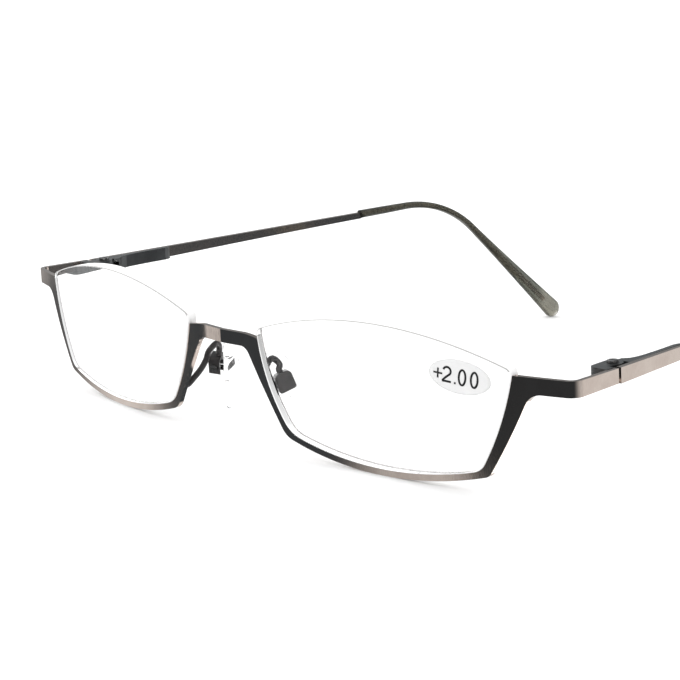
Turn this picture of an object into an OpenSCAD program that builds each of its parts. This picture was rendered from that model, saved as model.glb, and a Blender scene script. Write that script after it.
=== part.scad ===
// Half-frame reading glasses with sprung hinges and screwed-on nose pads.
// Everything is drawn as worn, with level temples, then stood on its half-rims and tips.
// Worn axes: x to the wearer's left, y back along the temples, z up, origin at the bridge.

/* [Lenses] */
// Gap between the two lenses at the bridge
lens_gap = 17.7; // [15:0.1:21]
// Width of each lens across its upper corners
lens_w = 50.65; // [46:0.05:54]
// Drop from the bridge line to the sharp lower corners of the lens
lens_drop = 14.8; // [12:0.1:17]
// How far the lower nasal corner lies outside the upper one
nasal_lean = 6.75; // [4:0.05:9]
// How far the lower outer corner lies inside the upper one
outer_lean = 6.1; // [3:0.1:8]
// Height of the lens corners above the bridge line
lens_rise = 1.95; // [1:0.05:3]
// Radius of the long lower edge
lens_low_r = 68; // [50:1:110]
// Radius of the nasal edge
lens_nasal_r = 35; // [25:1:60]
// Radius of the outer edge
lens_outer_r = 46; // [30:1:80]
// Radius of the free arched upper edge
lens_top_r = 74; // [55:1:120]
// Rounding of the lower nasal corner
nasal_corner_r = 5.2; // [3:0.1:7]
// Rounding of the lower outer corner
outer_corner_r = 3; // [1.5:0.1:5]
// Rounding of the two upper corners
upper_corner_r = 1.3; // [0.6:0.1:2.5]
// Reading power in dioptres
lens_power = 2; // [1:0.25:3.5]
// Refractive index of the lens plastic
lens_index = 1.5; // [1.49:0.01:1.6]
// Thickness at the middle of the lens
lens_t = 3.3; // [2.6:0.1:4]
// How far the lens stands in front of the metal
lens_proud = 0.3; // [0.1:0.05:0.6]

/* [Front] */
// Widest size of the front, across the turned end pieces
front_w = 138.9; // [130:0.1:150]
// Radius of the ball that the whole front lies on
front_r = 220; // [180:1:300]
// Forward tilt of the front at mid lens, in degrees
front_tilt = 1; // [0:0.5:6]
// Thickness of the pressed sheet
sheet_t = 0.85; // [0.75:0.05:1.4]
// Rim width under the lens
rim_low_w = 1.1; // [0.9:0.05:1.8]
// Rim width low on the nasal side
rim_nasal_w = 1.45; // [1:0.05:2.2]
// Rim width low on the outer side
rim_outer_w = 1.5; // [1:0.05:2.4]
// Rim width where it meets the bridge
rim_bridge_w = 4.2; // [3:0.1:5.5]
// Rim width where it meets the end piece
rim_end_w = 3.75; // [3:0.05:5]
// Height of the bridge bar
bridge_h = 2.25; // [1.6:0.05:3]
// How far the middle of the bridge stands forward of the ball
bridge_ridge = 0.35; // [0:0.05:0.8]
// Half length of the straight part of the bridge, before it turns into the rims
bridge_flat = 4; // [3:0.1:5]
// How far the top edge falls from the bridge to the lens
shoulder_drop = 0.45; // [0:0.05:0.6]
// Fillet under the bridge
bridge_fillet_r = 2.2; // [0.8:0.1:3]
// Height of the end piece
end_h = 2.6; // [2:0.05:3.2]
// Fillet between the end piece and the rim
end_fillet_r = 2.8; // [1.5:0.1:4]
// Outer radius of the bend at the side
bend_r = 2.2; // [1.6:0.1:3]
// Length of the end piece behind the bend
end_len = 8.9; // [8:0.1:11]
// Depth of the lens groove in the rim
groove_d = 0.4; // [0.3:0.05:0.6]
// Width of the lens groove
groove_w = 0.42; // [0.36:0.02:0.6]
// Play of the lens in its groove
groove_play = 0.03; // [0.02:0.01:0.08]

/* [Hinges] */
// Inward lean of each temple, in degrees
temple_lean = 5.4; // [0:0.1:8]
// Gap between the end piece and the temple
butt_gap = 0.6; // [0.5:0.05:0.8]
// Length of the hinge block on the end piece
block_len = 1.7; // [1.5:0.1:4]
// Rounding of the hinge block's inner front corner
block_corner_r = 1.2; // [0.4:0.1:1.4]
// How far the neck of the fork stays clear of the knuckle's outer side
neck_relief = 0.45; // [0.3:0.05:0.8]
// Distance of the hinge pin behind the end piece
pin_back = 2.3; // [2.1:0.05:2.8]
// Distance of the hinge pin inside the outer face
pin_in = 2.8; // [2.7:0.05:3.2]
// Outer diameter of the knuckles
knuckle_d = 3.3; // [2.8:0.1:3.4]
// Height of the middle knuckle
knuckle_mid_h = 0.86; // [0.7:0.02:1]
// Height of each knuckle of the fork
knuckle_fork_h = 0.76; // [0.6:0.02:0.9]
// Play between stacked knuckles
knuckle_play = 0.04; // [0.02:0.01:0.08]
// Diameter of the hinge screw
screw_d = 1.2; // [1:0.05:1.4]
// Diameter of the hinge screw head
screw_head_d = 1.9; // [1.6:0.05:2.2]
// Height of the hinge screw head
screw_head_h = 0.35; // [0.25:0.05:0.5]
// Radial play on shafts
shaft_play = 0.04; // [0.02:0.01:0.08]
// Length of the spring housing behind the knuckles
housing_len = 14.3; // [12:0.1:18]
// Thickness of the housing on top of the temple
housing_t = 0.9; // [0.85:0.05:1.4]
// Thickness of the housing shoulder next to the knuckles
shoulder_t = 2.7; // [2:0.1:3]
// Diameter of the slider shank
shank_d = 0.6; // [0.5:0.05:0.8]
// Diameter of the spring channel
channel_d = 1.3; // [1.2:0.05:1.5]
// Wire diameter of the spring
spring_wire_d = 0.22; // [0.18:0.01:0.3]
// Turns of the spring
spring_turns = 6; // [4:1:9]
// How far the spring lets the temple draw back
spring_travel = 0.9; // [0.5:0.1:1.2]

/* [Temples] */
// Thickness of the flat bar
bar_t = 0.9; // [0.85:0.05:1.4]
// Height of the bar at the hinge
bar_h = 2.55; // [2.2:0.05:3]
// Height of the bar where it enters the tip
bar_thin_h = 1.25; // [1.1:0.05:1.8]
// Fall of the upper edge along the bar
bar_fall = 0.35; // [0:0.05:1]
// Length of bare bar from the hinge gap to the tip
bar_len = 65.6; // [55:0.1:80]
// Thickness of the core wire inside the tip
core_t = 0.75; // [0.6:0.05:0.85]
// Height of the core wire inside the tip
core_h = 0.7; // [0.5:0.05:0.8]

/* [Tips] */
// Straight run of the tip before it bends
tip_run = 12; // [8:0.5:20]
// Bend radius of the tip over the ear
tip_bend_r = 26; // [18:1:35]
// Angle that the tip bends down, in degrees
tip_bend = 44.4; // [30:0.2:60]
// Straight drop behind the bend, to the centre of the end
tip_drop = 31.2; // [20:0.1:38]
// How far the middle of the tip lies above the middle of the bar
tip_lift = 0.25; // [0:0.05:0.4]
// Height of the tip where it starts
tip_h = 1.6; // [1.5:0.05:2.4]
// Height of the tip at its end
tip_end_h = 4; // [3:0.1:5.5]
// Thickness of the tip
tip_t = 2.2; // [1.6:0.1:3]
// Length of tip behind the end of the core wire
tip_solid = 3.6; // [3:0.1:8]
// Play of the core in the tip
core_play = 0.03; // [0.02:0.01:0.06]

/* [Nose pads] */
// Distance of the pad pivot from the middle
pad_x = 9.6; // [8:0.1:11]
// Distance of the pad pivot behind the bridge
pad_y = 6.2; // [5:0.1:8]
// Depth of the pad pivot below the bridge
pad_z = 7.5; // [6:0.1:9]
// Splay of the pad seen from above, in degrees
pad_splay = 28; // [15:1:35]
// Slope of the pad seen from the front, in degrees
pad_slope = 16; // [8:1:25]
// Lean of the pad seen from the side, in degrees
pad_lean = 14; // [5:1:20]
// Length of the pad
pad_l = 14; // [12:0.5:16]
// Width of the pad at its wide lower end
pad_w = 8.2; // [6.5:0.1:9]
// Thickness of the pad
pad_t = 2.2; // [1.8:0.1:2.8]
// Wire diameter of the pad arm
arm_d = 1.1; // [0.8:0.05:1.2]
// Thickness of the brazing under the arm's foot and on top of the box
seat_play = 0.02; // [0.01:0.01:0.04]
// Outer size of the square pad box
box_size = 3.2; // [2.8:0.1:3.6]
// Rounding of the upper shoulders of the pad box
box_round = 0.9; // [0.3:0.1:1]
// Wall of the pad box
box_wall = 0.35; // [0.3:0.05:0.45]
// Depth of the pad box
box_depth = 2; // [1.9:0.1:2.6]
// Gap between the pad box and the pad
pad_gap = 0.8; // [0.5:0.05:1]
// Thickness of the plate that the pad is moulded on
core_plate_t = 0.6; // [0.5:0.05:0.8]
// Diameter of the plate that the pad is moulded on
core_plate_d = 4.4; // [4:0.1:5]
// How far the middle of the plate lies below the pad screw
plate_drop = 1; // [0.8:0.1:1.6]
// How far the middle of the pad lies below the pad screw
pad_drop = 1.8; // [1:0.1:2.6]
// Diameter of the pad screw
pad_screw_d = 0.7; // [0.6:0.05:0.8]
// Diameter of the pad screw head
pad_head_d = 1.4; // [1.2:0.05:1.7]

/* [Hidden] */

// Facets of round faces, and degrees between the points of an outline arc
ball_fn = 360;
hole_fn = 48;
arc_step = 3;

// Point at an angle on a circle
function on_circle(c, r, a) = [c[0] + r * cos(a), c[1] + r * sin(a)];
// Angle of b seen from a
function bearing(a, b) = atan2(b[1] - a[1], b[0] - a[0]);
// Angle a moved by full turns to lie within half a turn of b
function near_angle(a, b) = a + 360 * round((b - a) / 360);
// Points of an arc from angle a0 to a1, ends included
function arc_points(c, r, a0, a1) =
  let (n = max(1, ceil(abs(a1 - a0) / arc_step)))
  [for (i = [0 : n]) on_circle(c, r, a0 + (a1 - a0) * i / n)];
// Centre of a circle of radius r through a and b that bulges to the right of a to b
function bulge_centre(a, b, r) =
  let (d = b - a, m = (a + b) / 2, s = norm(d), h = sqrt(max(0, r * r - s * s / 4)))
  m + [-d[1], d[0]] / s * h;
// Crossing of two circles that lies nearest to a point
function crossing(c1, r1, c2, r2, near) =
  let (
    d = c2 - c1, s = norm(d), a = (r1 * r1 - r2 * r2 + s * s) / (2 * s),
    h = sqrt(max(0, r1 * r1 - a * a)), m = c1 + d * a / s, o = [-d[1], d[0]] / s * h
  )
  norm(m + o - near) < norm(m - o - near) ? m + o : m - o;
// Sides of an outline as [centre, radius], from its sharp corners in anticlockwise order
function sides_of(corners, radii) =
  [for (i = [0 : len(corners) - 1])
    [bulge_centre(corners[i], corners[(i + 1) % len(corners)], radii[i]), radii[i]]];
// Outline with curved sides and rounded corners, made larger by grow
// Side i runs from corner i to the next one; round i is the rounding of corner i
function outline(corners, radii, rounds, grow = 0) =
  let (
    n = len(corners), side = sides_of(corners, radii),
    mid = [for (i = [0 : n - 1])
      let (p = side[(i + n - 1) % n], q = side[i])
      crossing(p[0], p[1] - rounds[i], q[0], q[1] - rounds[i], corners[i])]
  )
  [for (i = [0 : n - 1])
    let (
      p = side[(i + n - 1) % n], q = side[i],
      a0 = bearing(p[0], mid[i]), a1 = near_angle(bearing(q[0], mid[i]), a0),
      b1 = near_angle(bearing(q[0], mid[(i + 1) % n]), a1)
    )
    each concat(
      arc_points(mid[i], rounds[i] + grow, a0, a1),
      let (m = max(2, ceil(abs(b1 - a1) / arc_step * 2)))
        [for (k = [1 : m - 1]) on_circle(q[0], q[1] + grow, a1 + (b1 - a1) * k / m)]
    )];
// Concave fillet between two edges that leave a corner along d1 and d2
function fillet(corner, d1, d2, r) =
  let (
    u = d1 / norm(d1), v = d2 / norm(d2), half = acos(u * v) / 2,
    c = corner + (u + v) / norm(u + v) * r / sin(half),
    t = r / tan(half), a0 = bearing(c, corner + u * t),
    a1 = near_angle(bearing(c, corner + v * t), a0)
  )
  concat([corner], arc_points(c, r, a0, a1));

// Lens outline, seen from the front, in x and z
lens_x0 = lens_gap / 2;
lens_x1 = lens_x0 + lens_w;
lens_roll = 0.35;
nasal_low = [lens_x0 + nasal_lean, -lens_drop + lens_roll];
outer_low = [lens_x1 - outer_lean, -lens_drop - lens_roll];
outer_top = [lens_x1, lens_rise - lens_roll];
nasal_top = [lens_x0, lens_rise + lens_roll];
lens_corners = [nasal_low, outer_low, outer_top, nasal_top];
lens_radii = [lens_low_r, lens_outer_r, lens_top_r, lens_nasal_r];
lens_rounds = [nasal_corner_r, outer_corner_r, upper_corner_r, upper_corner_r];
lens_sides = sides_of(lens_corners, lens_radii);

// Heights of the bridge and the end piece
bridge_rise = 0.07;
bridge_top = bridge_h / 2 - bridge_rise;
bridge_low = bridge_top - bridge_h;
end_rise = 0.52;
end_top = end_h / 2 - end_rise;
end_low = end_top - end_h;

// Rim outline: the lens sides moved out by the rim widths
rim_low_side = [lens_sides[0][0], lens_sides[0][1] + rim_low_w];
rim_nasal_low = crossing(
  rim_low_side[0], rim_low_side[1], lens_sides[3][0], lens_sides[3][1] + rim_nasal_w, nasal_low);
rim_outer_low = crossing(
  rim_low_side[0], rim_low_side[1], lens_sides[1][0], lens_sides[1][1] + rim_outer_w, outer_low);
rim_outer_top = [lens_x1 + rim_end_w, end_top];
rim_nasal_top = [lens_x0 - rim_bridge_w, bridge_top];
rim_corners = [rim_nasal_low, rim_outer_low, rim_outer_top, rim_nasal_top];
rim_side_r = lens_outer_r * 2;
rim_straight_r = 900;
rim_radii = [rim_low_side[1], rim_side_r, rim_straight_r * 9, rim_straight_r];
rim_rounds = [nasal_corner_r - rim_nasal_w, outer_corner_r - rim_low_w, 0.1, 0.1];
rim_sides = sides_of(rim_corners, rim_radii);
// Place where a rim side passes a height, on the outside
function side_x(side, z, sign) = side[0][0] + sign * sqrt(pow(side[1], 2) - pow(z - side[0][1], 2));
// Direction of a rim side downwards at a point on it
function side_down(side, p) =
  let (n = p - side[0], t = [n[1], -n[0]] / norm(n)) t[1] < 0 ? t : -t;
bridge_corner = [side_x(rim_sides[3], bridge_low, -1), bridge_low];
end_corner = [side_x(rim_sides[1], end_low, 1), end_low];

// Height of the top edge at x: level on the bridge, then rounded down to the lens
shoulder_x = lens_x0 - rim_bridge_w + 0.15;
function top_edge(x) = bridge_top - shoulder_drop * pow(max(0, x - shoulder_x) / (lens_x0 - shoulder_x), 2);

// Ball that the front lies on
lens_mid = [(lens_x0 + lens_x1) / 2 + 0.1, (lens_rise - lens_drop) / 2];
ball_z = lens_mid[1] + front_r * sin(front_tilt);
ball = [0, front_r, ball_z];
// Depth of the front face behind the bridge at x, z
function face_y(x, z) = front_r - sqrt(pow(front_r, 2) - x * x - pow(z - ball_z, 2));
// The ball's radius in the level plane through the end piece
end_mid_z = (end_top + end_low) / 2;
level_r = sqrt(pow(front_r, 2) - pow(end_mid_z - ball_z, 2));
// Bend at the side: centre and the angle at which it leaves the ball
bend_x = front_w / 2 - bend_r;
bend_y = front_r - sqrt(pow(level_r - bend_r, 2) - pow(bend_x, 2));
bend_start = asin(bend_x / (level_r - bend_r));
// Side frame: x outwards from the outer face, y back along the temple
side_at = [bend_x + bend_r * cos(temple_lean), bend_y + bend_r * sin(temple_lean), 0];

// Hinge, in the side frame
temple_at = end_len + butt_gap;
pin_at = [-pin_in, end_len + pin_back];
hinge_h = 2 * knuckle_fork_h + knuckle_mid_h + 2 * knuckle_play;
hinge_top = end_mid_z + hinge_h / 2;
slider_z0 = hinge_top - knuckle_fork_h - knuckle_play - knuckle_mid_h;
housing_at = pin_at[1] + knuckle_d / 2 + 0.25;
channel_z = slider_z0 + knuckle_mid_h / 2;
channel_x = -bar_t;
channel_at = housing_at + 1.2;
channel_len = housing_len - 3;
stop_len = 0.5;
spring_len = channel_len - stop_len - spring_travel - 1.2;
spring_at = channel_at + spring_travel + 0.1;
stop_at = spring_at + spring_len + 0.05;

// Temple bar and tip, in the side frame
bar_step = 0.16;
bar_top = end_top - bar_step;
tip_at = temple_at + bar_len;
tip_z = bar_top - bar_fall - bar_thin_h / 2 + tip_lift;
bend_at = tip_at + tip_run;
bend_c = [bend_at, tip_z - tip_bend_r];
bend_end = on_circle(bend_c, tip_bend_r, 90 - tip_bend);
drop_dir = [cos(tip_bend), -sin(tip_bend)];
drop_up = [sin(tip_bend), cos(tip_bend)];
tip_end = bend_end + drop_dir * tip_drop;
tip_bend_h = tip_h - 0.25;

// Nose pad: its pivot, and the plate in the pad frame
pad_at = [pad_x, pad_y, -pad_z];
plate_at = -box_depth / 2 - pad_gap;

// Stance on the half-rims and the tips
tip_end_y = side_at[1] + tip_end[0] * cos(temple_lean) - bar_t / 2 * sin(temple_lean);
rim_low_z = rim_low_side[0][1] - rim_low_side[1];
rim_low_y = face_y(rim_low_side[0][0], rim_low_z);
stance_run = [tip_end_y - rim_low_y, tip_end[1] - rim_low_z];
stance = asin(tip_end_h / 2 / norm(stance_run)) - atan2(stance_run[1], stance_run[0]);
stance_z = -(rim_low_y * sin(stance) + rim_low_z * cos(stance));
stance_front = -bridge_ridge * cos(stance) - bridge_top * sin(stance);
stance_back = tip_end_y * cos(stance) - tip_end[1] * sin(stance) + tip_end_h / 2;
stance_y = -(stance_front + stance_back) / 2;

// Worn frame to standing frame
module standing() {
  translate([0, stance_y, stance_z]) rotate([stance, 0, 0]) children();
}
// Both halves share every module: the wearer's left is drawn and the right is its mirror image
module on_side(side) {
  standing() mirror([side < 0 ? 1 : 0, 0, 0]) children();
}
module side_frame() {
  translate(side_at) rotate([0, 0, temple_lean]) children();
}
module pad_frame() {
  translate(pad_at) rotate([pad_lean, 0, 0]) rotate([0, -pad_slope, 0]) rotate([0, 0, -pad_splay])
    children();
}
// An outline in x and z, made deep along y from y0 to y1
module deep(points, y0, y1) {
  translate([0, y1, 0]) rotate([90, 0, 0]) linear_extrude(y1 - y0) polygon(points);
}
// A profile in y and z, made thick along x from x0 to x1
module thick(points, x0, x1) {
  translate([x0, 0, 0]) rotate([90, 0, 90]) linear_extrude(x1 - x0) polygon(points);
}
// A plan in x and y, made tall from z0 to z1
module tall(points, z0, z1) {
  translate([0, 0, z0]) linear_extrude(z1 - z0) polygon(points);
}
// A ball about the centre that the front lies on
module front_ball(r) {
  translate(ball) sphere(r = r, $fn = ball_fn);
}
module hinge_bore(d, z0, z1) {
  translate([pin_at[0], pin_at[1], z0]) cylinder(d = d, h = z1 - z0, $fn = hole_fn);
}

// A direction in the pad frame, as seen in the worn frame
function turn_x(v, a) = [v[0], v[1] * cos(a) - v[2] * sin(a), v[1] * sin(a) + v[2] * cos(a)];
function turn_y(v, a) = [v[0] * cos(a) + v[2] * sin(a), v[1], v[2] * cos(a) - v[0] * sin(a)];
function turn_z(v, a) = [v[0] * cos(a) - v[1] * sin(a), v[0] * sin(a) + v[1] * cos(a), v[2]];
function pad_dir(v) = turn_x(turn_y(turn_z(v, -pad_splay), -pad_slope), pad_lean);

// What the rounded shoulder clears away above the top edge
function shoulder_points() =
  let (x1 = lens_x0 + 0.8)
  concat([[x1, bridge_top + 1], [shoulder_x, bridge_top + 1]],
    [for (i = [0 : 10]) let (x = shoulder_x + (x1 - shoulder_x) * i / 10) [x, top_edge(x)]]);

// Half of the pressed sheet, flat outline in x and z
module half_sheet_outline() {
  difference() {
    union() {
      polygon(outline(rim_corners, rim_radii, rim_rounds));
      polygon([[rim_outer_top[0] - 1, end_low], [bend_x + bend_r * sin(bend_start), end_low],
        [bend_x + bend_r * sin(bend_start), end_top], [rim_outer_top[0] - 1, end_top]]);
      polygon(fillet(bridge_corner, [-1, 0], side_down(rim_sides[3], bridge_corner), bridge_fillet_r));
      polygon(fillet(end_corner, [1, 0], side_down(rim_sides[1], end_corner), end_fillet_r));
    }
    polygon(outline(lens_corners, lens_radii, lens_rounds));
    polygon(shoulder_points());
  }
}

// The half-rim and end piece on the ball
module half_rim() {
  depth = face_y(front_w / 2, rim_low_z) + sheet_t + 1;
  difference() {
    intersection() {
      translate([0, depth, 0]) rotate([90, 0, 0]) linear_extrude(depth + 1) half_sheet_outline();
      front_ball(front_r);
    }
    front_ball(front_r - sheet_t);
    intersection() {
      deep(outline(lens_corners, lens_radii, lens_rounds, groove_d), -1, depth);
      difference() {
        front_ball(front_r - sheet_t / 2 + groove_w / 2);
        front_ball(front_r - sheet_t / 2 - groove_w / 2);
      }
    }
  }
}

// Half of the bridge bar: straight from the ridge in the middle, then easing into the rim
module half_bridge() {
  join = lens_x0 - 1.35;
  ball_x = bridge_flat + 1;
  slope = (bridge_ridge + face_y(ball_x, 0)) / ball_x;
  run = join - bridge_flat;
  y0 = bridge_flat * slope - bridge_ridge;
  y1 = face_y(join, 0);
  face = concat([[0, -bridge_ridge]], [for (i = [0 : 12])
    let (t = i / 12, s = 3 * t * t - 2 * t * t * t)
    [bridge_flat + run * t,
      y0 + (y1 - y0) * s + run * (slope * (t * t * t - 2 * t * t + t) + join / front_r * (t * t * t - t * t))]]);
  back = [for (i = [len(face) - 1 : -1 : 0]) face[i] + [0, sheet_t]];
  difference() {
    tall(concat(face, back), bridge_low, bridge_top);
    deep(shoulder_points(), -1, 3);
  }
}

// The bend and the side leg of the end piece
module end_leg() {
  reach = bend_r * 3;
  translate([bend_x, bend_y, end_low]) linear_extrude(end_h) difference() {
    intersection() {
      circle(r = bend_r, $fn = 96);
      polygon([[0, 0], reach * [sin(bend_start), -cos(bend_start)],
        reach * [1, -0.5], reach * [cos(temple_lean), sin(temple_lean)]]);
    }
    circle(r = bend_r - sheet_t, $fn = 96);
  }
  side_frame() thick([[-0.05, end_low], [end_len, end_low + 0.05], [end_len, bar_top],
    [-0.05, end_top]], -sheet_t, 0);
}

module front_half() {
  half_rim();
  half_bridge();
  end_leg();
}

module front_frame() {
  color("dimgray") standing() {
    front_half();
    mirror([1, 0, 0]) front_half();
  }
}

// Meniscus lens with a tongue that sits in the groove of the half-rim
// The back is turned about the lens axis; its radius follows from the power
module lens() {
  depth = face_y(lens_x1, -lens_drop) + lens_t + 2;
  mid = [lens_mid[0], face_y(lens_mid[0], lens_mid[1]), lens_mid[1]];
  axis = (ball - mid) / norm(ball - mid);
  intersection() {
    union() {
      deep(outline(lens_corners, lens_radii, lens_rounds, -groove_play), -1, depth);
      intersection() {
        deep(outline(lens_corners, lens_radii, lens_rounds, groove_d - groove_play), -1, depth);
        translate([0, -1, -lens_drop * 2]) cube([lens_x1 + 5, depth + 1, lens_drop * 2 - 0.4]);
        difference() {
          front_ball(front_r - sheet_t / 2 + groove_w / 2 - groove_play);
          front_ball(front_r - sheet_t / 2 - groove_w / 2 + groove_play);
        }
      }
    }
    difference() {
      front_ball(front_r + lens_proud);
      translate(mid) rotate([0, 0, atan2(-axis[0], axis[1])]) rotate([asin(axis[2]) - 90, 0, 0])
        lens_back();
    }
  }
}

// What the turned back face clears away, along z from the front face at the metal's level
module lens_back() {
  back_r = 1 / (1 / (front_r + lens_proud) - lens_power / (lens_index - 1) / 1000);
  reach = lens_w * 0.7;
  steps = 12;
  t = lens_t - lens_proud;
  arc = [for (i = [0 : steps]) let (q = reach * i / steps) [q, t + back_r - sqrt(back_r * back_r - q * q)]];
  rotate_extrude($fn = 120) polygon(concat(arc, [[reach, lens_t * 12], [0, lens_t * 12]]));
}

// Fork brazed inside the end piece: a base block and two knuckles with a bore for the screw
module hinge_block() {
  rear = end_len - 0.2;
  inner_x = pin_at[0] - knuckle_d / 2;
  neck_x = pin_at[0] + knuckle_d / 2 - neck_relief;
  z0 = hinge_top - hinge_h;
  difference() {
    side_frame() {
      difference() {
        tall(concat([[-sheet_t, rear - block_len], [-sheet_t, rear], [neck_x, rear],
          [neck_x, pin_at[1]], [inner_x, pin_at[1]]],
          arc_points([inner_x, rear - block_len] + block_corner_r * [1, 1], block_corner_r, 180, 270)),
          z0, hinge_top);
        translate([inner_x - 1, pin_at[1] - knuckle_d / 2 - 0.25, slider_z0 - knuckle_play])
          cube([knuckle_d + 2, knuckle_d, knuckle_mid_h + 2 * knuckle_play]);
      }
      for (z = [z0, hinge_top - knuckle_fork_h])
        translate([pin_at[0], pin_at[1], z]) cylinder(d = knuckle_d, h = knuckle_fork_h, $fn = 96);
    }
    side_frame() hinge_bore(screw_d + 2 * shaft_play, z0 - 1, hinge_top + 1);
  }
}

module hinge_screw() {
  side_frame() {
    hinge_bore(screw_d, hinge_top - hinge_h - 0.1, hinge_top + 0.02);
    difference() {
      hinge_bore(screw_head_d, hinge_top + 0.02, hinge_top + 0.02 + screw_head_h);
      translate([pin_at[0] - screw_head_d, pin_at[1] - 0.15, hinge_top + 0.02 + screw_head_h / 2])
        cube([screw_head_d * 2, 0.3, screw_head_h]);
    }
  }
}

// Middle knuckle, with a neck that leads to the shank in the housing and a stop at its end
module hinge_slider() {
  neck_y = housing_at + 0.9;
  difference() {
    side_frame() {
      translate([pin_at[0], pin_at[1], slider_z0]) cylinder(d = knuckle_d, h = knuckle_mid_h, $fn = 96);
      tall([[pin_at[0] - 0.6, pin_at[1]], [channel_x + shank_d / 2, pin_at[1] + knuckle_d / 3],
        [channel_x + shank_d / 2, neck_y], [channel_x - shank_d / 2, neck_y],
        [pin_at[0] - 0.6, housing_at - 0.1]], slider_z0, slider_z0 + knuckle_mid_h);
      translate([channel_x, neck_y - 0.1, channel_z]) rotate([-90, 0, 0])
        cylinder(d = shank_d, h = stop_at - neck_y + 0.2, $fn = hole_fn);
      translate([channel_x, stop_at, channel_z]) rotate([-90, 0, 0])
        cylinder(d = channel_d - 2 * shaft_play, h = stop_len, $fn = hole_fn);
    }
    side_frame() hinge_bore(screw_d + 2 * shaft_play, slider_z0 - 1, slider_z0 + knuckle_mid_h + 1);
  }
}

// Coil drawn as a swept polygon of six sides
module hinge_spring() {
  coil_r = shank_d / 2 + shaft_play + spring_wire_d / 2;
  steps = 14;
  rings = spring_turns * steps + 1;
  pitch = (spring_len - spring_wire_d) / spring_turns;
  points = [for (i = [0 : rings - 1]) for (k = [0 : 5])
    let (a = i * 360 / steps, b = k * 60, r = coil_r + spring_wire_d / 2 * cos(b))
    [r * cos(a), pitch * i / steps + spring_wire_d / 2 * (1 + sin(b)), r * sin(a)]];
  walls = [for (i = [0 : rings - 2]) for (k = [0 : 5])
    let (a = i * 6 + k, b = i * 6 + (k + 1) % 6)
    each [[a, a + 6, b], [b, a + 6, b + 6]]];
  ends = [[for (k = [0 : 5]) k], [for (k = [5 : -1 : 0]) (rings - 1) * 6 + k]];
  side_frame() translate([channel_x, spring_at, channel_z])
    polyhedron(points, concat(walls, ends));
}

// The spring channel: wide round the spring, with a slot at the front for the flat neck
module channel() {
  side_frame() {
    translate([channel_x, channel_at, channel_z]) rotate([-90, 0, 0])
      cylinder(d = channel_d, h = channel_len, $fn = hole_fn);
    translate([channel_x, housing_at - 3, channel_z]) rotate([-90, 0, 0])
      cylinder(d = shank_d + 2 * shaft_play, h = channel_at - housing_at + 3.1, $fn = hole_fn);
  }
}
module neck_slot() {
  side_frame() translate([channel_x - shank_d / 2 - shaft_play - 3, housing_at - 3,
    slider_z0 - knuckle_play]) cube([shank_d + 2 * shaft_play + 3, 3.95 + shaft_play,
    knuckle_mid_h + 2 * knuckle_play]);
}

// Block on the inside of the bar: thick shoulder next to the knuckles, thin body, rounded rear step
module hinge_housing() {
  body_x = -bar_t - housing_t;
  shoulder_x = -bar_t - shoulder_t;
  rear = housing_at + housing_len;
  difference() {
    side_frame() tall([
      [-bar_t, housing_at], [shoulder_x + 0.4, housing_at], [shoulder_x, housing_at + 0.5],
      [shoulder_x + 0.15, housing_at + 1.3], [body_x - 0.75, housing_at + 2.2],
      [body_x - 0.3, housing_at + 3.6], [body_x - 0.1, housing_at + 5.5], [body_x, housing_at + 8],
      [body_x, rear - 1.6], [body_x + 0.2, rear - 0.8], [body_x + 0.5, rear - 0.3], [-bar_t, rear]],
      bar_top - bar_h + 0.12, bar_top - 0.04);
    channel();
    neck_slot();
  }
}

// Lower edge of the bar: an easy curve that thins the bar towards the tip
function bar_low_points() =
  [for (i = [0 : 12])
    let (t = i / 12, y = temple_at + bar_len * t)
    [y, bar_top - bar_h + (bar_h - bar_thin_h - bar_fall) * (1 - pow(1 - t, 1.5))]];

// Flat bar and, behind it, the core wire that follows the bend of the tip
module temple() {
  core_end = tip_drop - tip_solid;
  difference() {
    side_frame() {
      thick(concat([[temple_at, bar_top]], bar_low_points(), [[tip_at, bar_top - bar_fall]]), -bar_t, 0);
      core(core_end, core_h, core_t);
    }
    channel();
    neck_slot();
  }
}

// The core, or the hole for it, as one strip along the bend
module core(reach, h, t) {
  x0 = -bar_t / 2 - t / 2;
  thick([[tip_at - 0.5, tip_z - h / 2], [bend_at, tip_z - h / 2],
    [bend_at, tip_z + h / 2], [tip_at - 0.5, tip_z + h / 2]], x0, x0 + t);
  translate([x0, 0, 0]) rotate([90, 0, 90]) linear_extrude(t) difference() {
    intersection() {
      translate(bend_c) circle(r = tip_bend_r + h / 2, $fn = 240);
      polygon([bend_c, bend_c + [0, tip_bend_r * 2], bend_c + tip_bend_r * 2 * drop_up]);
    }
    translate(bend_c) circle(r = tip_bend_r - h / 2, $fn = 240);
  }
  thick([bend_end - drop_up * h / 2, bend_end + drop_dir * reach - drop_up * h / 2,
    bend_end + drop_dir * reach + drop_up * h / 2, bend_end + drop_up * h / 2], x0, x0 + t);
}

// Faces of a tube of rings, numbered clockwise about its path, with flat ends
function tube_faces(steps, sides) = concat(
  [for (i = [0 : steps - 1]) for (k = [0 : sides - 1])
    let (a = i * sides + k, b = i * sides + (k + 1) % sides) [a, a + sides, b + sides, b]],
  [[for (k = [0 : sides - 1]) k], [for (k = [sides - 1 : -1 : 0]) steps * sides + k]]
);

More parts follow.
